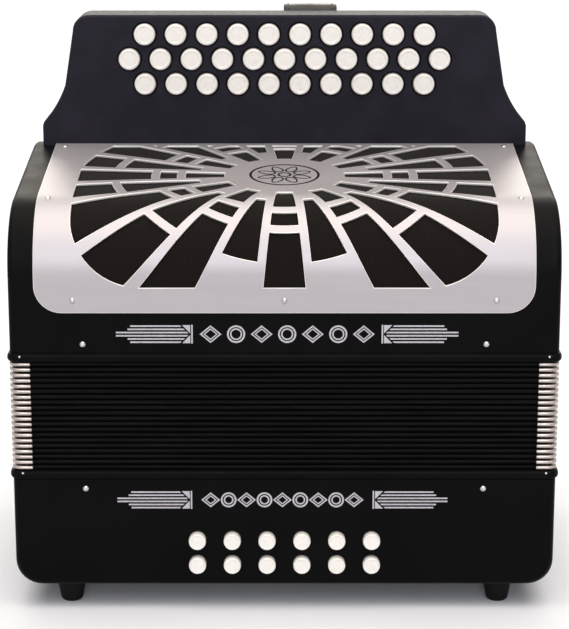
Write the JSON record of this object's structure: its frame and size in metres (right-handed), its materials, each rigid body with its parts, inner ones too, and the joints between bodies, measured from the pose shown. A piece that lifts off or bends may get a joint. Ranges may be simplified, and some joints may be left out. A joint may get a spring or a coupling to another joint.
{
  "type": "diatonic accordion",
  "caption": "Button accordion standing on its bass end: black casings, folded bellows, sunburst metal grille, white button keyboard, bass buttons, air button and straps.",
  "frame": {"origin": "middle of the footprint on the surface that the rubber feet stand on", "axes": "+Z from the bass end to the treble end along the bellows; +X along the rows of buttons; -Y is the grille side and +Y the side of the hand strap"},
  "size_m": [0.3132, 0.229, 0.3327],
  "materials": {
    "black_lacquer": "black lacquer, semi-gloss",
    "satin_black": "satin black",
    "brushed_aluminium": "brushed",
    "gauze": "fine black cloth",
    "pearl": "polished ivory white",
    "steel": "drawn rod",
    "bellows_cloth": "black bookcloth over card",
    "strap_leather": "black grained leather",
    "foot_rubber": "matte"
  },
  "bodies": {
    "bass": {"bass_casing": "black_lacquer", "bass_cover": "satin_black", "bellows_frame_bass": "black_lacquer", "hand_strap": "strap_leather", "foot_front_left": "foot_rubber", "foot_front_right": "foot_rubber", "foot_rear_left": "foot_rubber", "foot_rear_right": "foot_rubber", "bellows": "bellows_cloth"},
    "treble": {"treble_casing": "black_lacquer", "fingerboard": "satin_black", "grille": "brushed_aluminium", "grille_gauze": "gauze", "treble_axle": "steel", "thumb_strap": "strap_leather", "bellows_frame_treble": "black_lacquer"},
    "treble_key_outer_01": {"treble_key_outer_01": "pearl"},
    "treble_key_outer_02": {"treble_key_outer_02": "pearl"},
    "treble_key_outer_03": {"treble_key_outer_03": "pearl"},
    "treble_key_outer_04": {"treble_key_outer_04": "pearl"},
    "treble_key_outer_05": {"treble_key_outer_05": "pearl"},
    "treble_key_outer_06": {"treble_key_outer_06": "pearl"},
    "treble_key_outer_07": {"treble_key_outer_07": "pearl"},
    "treble_key_outer_08": {"treble_key_outer_08": "pearl"},
    "treble_key_outer_09": {"treble_key_outer_09": "pearl"},
    "treble_key_outer_10": {"treble_key_outer_10": "pearl"},
    "treble_key_middle_01": {"treble_key_middle_01": "pearl"},
    "treble_key_middle_02": {"treble_key_middle_02": "pearl"},
    "treble_key_middle_03": {"treble_key_middle_03": "pearl"},
    "treble_key_middle_04": {"treble_key_middle_04": "pearl"},
    "treble_key_middle_05": {"treble_key_middle_05": "pearl"},
    "treble_key_middle_06": {"treble_key_middle_06": "pearl"},
    "treble_key_middle_07": {"treble_key_middle_07": "pearl"},
    "treble_key_middle_08": {"treble_key_middle_08": "pearl"},
    "treble_key_middle_09": {"treble_key_middle_09": "pearl"},
    "treble_key_middle_10": {"treble_key_middle_10": "pearl"},
    "treble_key_middle_11": {"treble_key_middle_11": "pearl"},
    "treble_key_inner_01": {"treble_key_inner_01": "pearl"},
    "treble_key_inner_02": {"treble_key_inner_02": "pearl"},
    "treble_key_inner_03": {"treble_key_inner_03": "pearl"},
    "treble_key_inner_04": {"treble_key_inner_04": "pearl"},
    "treble_key_inner_05": {"treble_key_inner_05": "pearl"},
    "treble_key_inner_06": {"treble_key_inner_06": "pearl"},
    "treble_key_inner_07": {"treble_key_inner_07": "pearl"},
    "treble_key_inner_08": {"treble_key_inner_08": "pearl"},
    "treble_key_inner_09": {"treble_key_inner_09": "pearl"},
    "treble_key_inner_10": {"treble_key_inner_10": "pearl"},
    "bass_button_upper_01": {"bass_button_upper_01": "pearl"},
    "bass_button_upper_02": {"bass_button_upper_02": "pearl"},
    "bass_button_upper_03": {"bass_button_upper_03": "pearl"},
    "bass_button_upper_04": {"bass_button_upper_04": "pearl"},
    "bass_button_upper_05": {"bass_button_upper_05": "pearl"},
    "bass_button_upper_06": {"bass_button_upper_06": "pearl"},
    "bass_button_lower_01": {"bass_button_lower_01": "pearl"},
    "bass_button_lower_02": {"bass_button_lower_02": "pearl"},
    "bass_button_lower_03": {"bass_button_lower_03": "pearl"},
    "bass_button_lower_04": {"bass_button_lower_04": "pearl"},
    "bass_button_lower_05": {"bass_button_lower_05": "pearl"},
    "bass_button_lower_06": {"bass_button_lower_06": "pearl"},
    "air_button": {"air_button": "pearl"}
  },
  "joints": [
    {"name": "bellows_open", "type": "slide", "parent": "bass", "child": "treble", "axis": [0, 0, 1], "range_m": [0, 0.3], "deforming": ["bellows"]},
    {"name": "treble_key_outer_05_press", "type": "hinge", "parent": "treble", "child": "treble_key_outer_05", "pos_m": [-0.01267, 0.0345, 0.23595], "axis": [-1, 0, 0], "range_deg": [0, 2.46], "stiffness_Nm_per_rad": 0.6, "springref_deg": -2.86},
    {"name": "treble_key_middle_06_press", "type": "hinge", "parent": "treble", "child": "treble_key_middle_06", "pos_m": [0, 0.0345, 0.23595], "axis": [-1, 0, 0], "range_deg": [0, 3.02], "stiffness_Nm_per_rad": 0.6, "springref_deg": -2.86},
    {"name": "treble_key_inner_05_press", "type": "hinge", "parent": "treble", "child": "treble_key_inner_05", "pos_m": [-0.00633, 0.0345, 0.23595], "axis": [-1, 0, 0], "range_deg": [0, 3.91], "stiffness_Nm_per_rad": 0.6, "springref_deg": -2.86},
    {"name": "bass_button_upper_03_press", "type": "slide", "parent": "bass", "child": "bass_button_upper_03", "axis": [0, 1, 0], "range_m": [0, 0.003], "stiffness_N_per_m": 150, "springref_m": -0.003},
    {"name": "bass_button_lower_03_press", "type": "slide", "parent": "bass", "child": "bass_button_lower_03", "axis": [0, 1, 0], "range_m": [0, 0.003], "stiffness_N_per_m": 150, "springref_m": -0.003},
    {"name": "air_button_press", "type": "slide", "parent": "bass", "child": "air_button", "axis": [0, -1, 0], "range_m": [0, 0.004], "stiffness_N_per_m": 200, "springref_m": -0.003},
    {"name": "treble_key_outer_01_press", "type": "hinge", "parent": "treble", "child": "treble_key_outer_01", "pos_m": [-0.08867, 0.0345, 0.23595], "axis": [-1, 0, 0], "range_deg": [0, 2.46], "stiffness_Nm_per_rad": 0.6, "springref_deg": -2.86},
    {"name": "treble_key_outer_02_press", "type": "hinge", "parent": "treble", "child": "treble_key_outer_02", "pos_m": [-0.06967, 0.0345, 0.23595], "axis": [-1, 0, 0], "range_deg": [0, 2.46], "stiffness_Nm_per_rad": 0.6, "springref_deg": -2.86},
    {"name": "treble_key_outer_03_press", "type": "hinge", "parent": "treble", "child": "treble_key_outer_03", "pos_m": [-0.05067, 0.0345, 0.23595], "axis": [-1, 0, 0], "range_deg": [0, 2.46], "stiffness_Nm_per_rad": 0.6, "springref_deg": -2.86},
    {"name": "treble_key_outer_04_press", "type": "hinge", "parent": "treble", "child": "treble_key_outer_04", "pos_m": [-0.03167, 0.0345, 0.23595], "axis": [-1, 0, 0], "range_deg": [0, 2.46], "stiffness_Nm_per_rad": 0.6, "springref_deg": -2.86},
    {"name": "treble_key_outer_06_press", "type": "hinge", "parent": "treble", "child": "treble_key_outer_06", "pos_m": [0.00633, 0.0345, 0.23595], "axis": [-1, 0, 0], "range_deg": [0, 2.46], "stiffness_Nm_per_rad": 0.6, "springref_deg": -2.86},
    {"name": "treble_key_outer_07_press", "type": "hinge", "parent": "treble", "child": "treble_key_outer_07", "pos_m": [0.02533, 0.0345, 0.23595], "axis": [-1, 0, 0], "range_deg": [0, 2.46], "stiffness_Nm_per_rad": 0.6, "springref_deg": -2.86},
    {"name": "treble_key_outer_08_press", "type": "hinge", "parent": "treble", "child": "treble_key_outer_08", "pos_m": [0.04433, 0.0345, 0.23595], "axis": [-1, 0, 0], "range_deg": [0, 2.46], "stiffness_Nm_per_rad": 0.6, "springref_deg": -2.86},
    {"name": "treble_key_outer_09_press", "type": "hinge", "parent": "treble", "child": "treble_key_outer_09", "pos_m": [0.06333, 0.0345, 0.23595], "axis": [-1, 0, 0], "range_deg": [0, 2.46], "stiffness_Nm_per_rad": 0.6, "springref_deg": -2.86},
    {"name": "treble_key_outer_10_press", "type": "hinge", "parent": "treble", "child": "treble_key_outer_10", "pos_m": [0.08233, 0.0345, 0.23595], "axis": [-1, 0, 0], "range_deg": [0, 2.46], "stiffness_Nm_per_rad": 0.6, "springref_deg": -2.86},
    {"name": "treble_key_middle_01_press", "type": "hinge", "parent": "treble", "child": "treble_key_middle_01", "pos_m": [-0.095, 0.0345, 0.23595], "axis": [-1, 0, 0], "range_deg": [0, 3.02], "stiffness_Nm_per_rad": 0.6, "springref_deg": -2.86},
    {"name": "treble_key_middle_02_press", "type": "hinge", "parent": "treble", "child": "treble_key_middle_02", "pos_m": [-0.076, 0.0345, 0.23595], "axis": [-1, 0, 0], "range_deg": [0, 3.02], "stiffness_Nm_per_rad": 0.6, "springref_deg": -2.86},
    {"name": "treble_key_middle_03_press", "type": "hinge", "parent": "treble", "child": "treble_key_middle_03", "pos_m": [-0.057, 0.0345, 0.23595], "axis": [-1, 0, 0], "range_deg": [0, 3.02], "stiffness_Nm_per_rad": 0.6, "springref_deg": -2.86},
    {"name": "treble_key_middle_04_press", "type": "hinge", "parent": "treble", "child": "treble_key_middle_04", "pos_m": [-0.038, 0.0345, 0.23595], "axis": [-1, 0, 0], "range_deg": [0, 3.02], "stiffness_Nm_per_rad": 0.6, "springref_deg": -2.86},
    {"name": "treble_key_middle_05_press", "type": "hinge", "parent": "treble", "child": "treble_key_middle_05", "pos_m": [-0.019, 0.0345, 0.23595], "axis": [-1, 0, 0], "range_deg": [0, 3.02], "stiffness_Nm_per_rad": 0.6, "springref_deg": -2.86},
    {"name": "treble_key_middle_07_press", "type": "hinge", "parent": "treble", "child": "treble_key_middle_07", "pos_m": [0.019, 0.0345, 0.23595], "axis": [-1, 0, 0], "range_deg": [0, 3.02], "stiffness_Nm_per_rad": 0.6, "springref_deg": -2.86},
    {"name": "treble_key_middle_08_press", "type": "hinge", "parent": "treble", "child": "treble_key_middle_08", "pos_m": [0.038, 0.0345, 0.23595], "axis": [-1, 0, 0], "range_deg": [0, 3.02], "stiffness_Nm_per_rad": 0.6, "springref_deg": -2.86},
    {"name": "treble_key_middle_09_press", "type": "hinge", "parent": "treble", "child": "treble_key_middle_09", "pos_m": [0.057, 0.0345, 0.23595], "axis": [-1, 0, 0], "range_deg": [0, 3.02], "stiffness_Nm_per_rad": 0.6, "springref_deg": -2.86},
    {"name": "treble_key_middle_10_press", "type": "hinge", "parent": "treble", "child": "treble_key_middle_10", "pos_m": [0.076, 0.0345, 0.23595], "axis": [-1, 0, 0], "range_deg": [0, 3.02], "stiffness_Nm_per_rad": 0.6, "springref_deg": -2.86},
    {"name": "treble_key_middle_11_press", "type": "hinge", "parent": "treble", "child": "treble_key_middle_11", "pos_m": [0.095, 0.0345, 0.23595], "axis": [-1, 0, 0], "range_deg": [0, 3.02], "stiffness_Nm_per_rad": 0.6, "springref_deg": -2.86},
    {"name": "treble_key_inner_01_press", "type": "hinge", "parent": "treble", "child": "treble_key_inner_01", "pos_m": [-0.08233, 0.0345, 0.23595], "axis": [-1, 0, 0], "range_deg": [0, 3.91], "stiffness_Nm_per_rad": 0.6, "springref_deg": -2.86},
    {"name": "treble_key_inner_02_press", "type": "hinge", "parent": "treble", "child": "treble_key_inner_02", "pos_m": [-0.06333, 0.0345, 0.23595], "axis": [-1, 0, 0], "range_deg": [0, 3.91], "stiffness_Nm_per_rad": 0.6, "springref_deg": -2.86},
    {"name": "treble_key_inner_03_press", "type": "hinge", "parent": "treble", "child": "treble_key_inner_03", "pos_m": [-0.04433, 0.0345, 0.23595], "axis": [-1, 0, 0], "range_deg": [0, 3.91], "stiffness_Nm_per_rad": 0.6, "springref_deg": -2.86},
    {"name": "treble_key_inner_04_press", "type": "hinge", "parent": "treble", "child": "treble_key_inner_04", "pos_m": [-0.02533, 0.0345, 0.23595], "axis": [-1, 0, 0], "range_deg": [0, 3.91], "stiffness_Nm_per_rad": 0.6, "springref_deg": -2.86},
    {"name": "treble_key_inner_06_press", "type": "hinge", "parent": "treble", "child": "treble_key_inner_06", "pos_m": [0.01267, 0.0345, 0.23595], "axis": [-1, 0, 0], "range_deg": [0, 3.91], "stiffness_Nm_per_rad": 0.6, "springref_deg": -2.86},
    {"name": "treble_key_inner_07_press", "type": "hinge", "parent": "treble", "child": "treble_key_inner_07", "pos_m": [0.03167, 0.0345, 0.23595], "axis": [-1, 0, 0], "range_deg": [0, 3.91], "stiffness_Nm_per_rad": 0.6, "springref_deg": -2.86},
    {"name": "treble_key_inner_08_press", "type": "hinge", "parent": "treble", "child": "treble_key_inner_08", "pos_m": [0.05067, 0.0345, 0.23595], "axis": [-1, 0, 0], "range_deg": [0, 3.91], "stiffness_Nm_per_rad": 0.6, "springref_deg": -2.86},
    {"name": "treble_key_inner_09_press", "type": "hinge", "parent": "treble", "child": "treble_key_inner_09", "pos_m": [0.06967, 0.0345, 0.23595], "axis": [-1, 0, 0], "range_deg": [0, 3.91], "stiffness_Nm_per_rad": 0.6, "springref_deg": -2.86},
    {"name": "treble_key_inner_10_press", "type": "hinge", "parent": "treble", "child": "treble_key_inner_10", "pos_m": [0.08867, 0.0345, 0.23595], "axis": [-1, 0, 0], "range_deg": [0, 3.91], "stiffness_Nm_per_rad": 0.6, "springref_deg": -2.86},
    {"name": "bass_button_upper_01_press", "type": "slide", "parent": "bass", "child": "bass_button_upper_01", "axis": [0, 1, 0], "range_m": [0, 0.003], "stiffness_N_per_m": 150, "springref_m": -0.003},
    {"name": "bass_button_upper_02_press", "type": "slide", "parent": "bass", "child": "bass_button_upper_02", "axis": [0, 1, 0], "range_m": [0, 0.003], "stiffness_N_per_m": 150, "springref_m": -0.003},
    {"name": "bass_button_upper_04_press", "type": "slide", "parent": "bass", "child": "bass_button_upper_04", "axis": [0, 1, 0], "range_m": [0, 0.003], "stiffness_N_per_m": 150, "springref_m": -0.003},
    {"name": "bass_button_upper_05_press", "type": "slide", "parent": "bass", "child": "bass_button_upper_05", "axis": [0, 1, 0], "range_m": [0, 0.003], "stiffness_N_per_m": 150, "springref_m": -0.003},
    {"name": "bass_button_upper_06_press", "type": "slide", "parent": "bass", "child": "bass_button_upper_06", "axis": [0, 1, 0], "range_m": [0, 0.003], "stiffness_N_per_m": 150, "springref_m": -0.003},
    {"name": "bass_button_lower_01_press", "type": "slide", "parent": "bass", "child": "bass_button_lower_01", "axis": [0, 1, 0], "range_m": [0, 0.003], "stiffness_N_per_m": 150, "springref_m": -0.003},
    {"name": "bass_button_lower_02_press", "type": "slide", "parent": "bass", "child": "bass_button_lower_02", "axis": [0, 1, 0], "range_m": [0, 0.003], "stiffness_N_per_m": 150, "springref_m": -0.003},
    {"name": "bass_button_lower_04_press", "type": "slide", "parent": "bass", "child": "bass_button_lower_04", "axis": [0, 1, 0], "range_m": [0, 0.003], "stiffness_N_per_m": 150, "springref_m": -0.003},
    {"name": "bass_button_lower_05_press", "type": "slide", "parent": "bass", "child": "bass_button_lower_05", "axis": [0, 1, 0], "range_m": [0, 0.003], "stiffness_N_per_m": 150, "springref_m": -0.003},
    {"name": "bass_button_lower_06_press", "type": "slide", "parent": "bass", "child": "bass_button_lower_06", "axis": [0, 1, 0], "range_m": [0, 0.003], "stiffness_N_per_m": 150, "springref_m": -0.003}
  ]
}
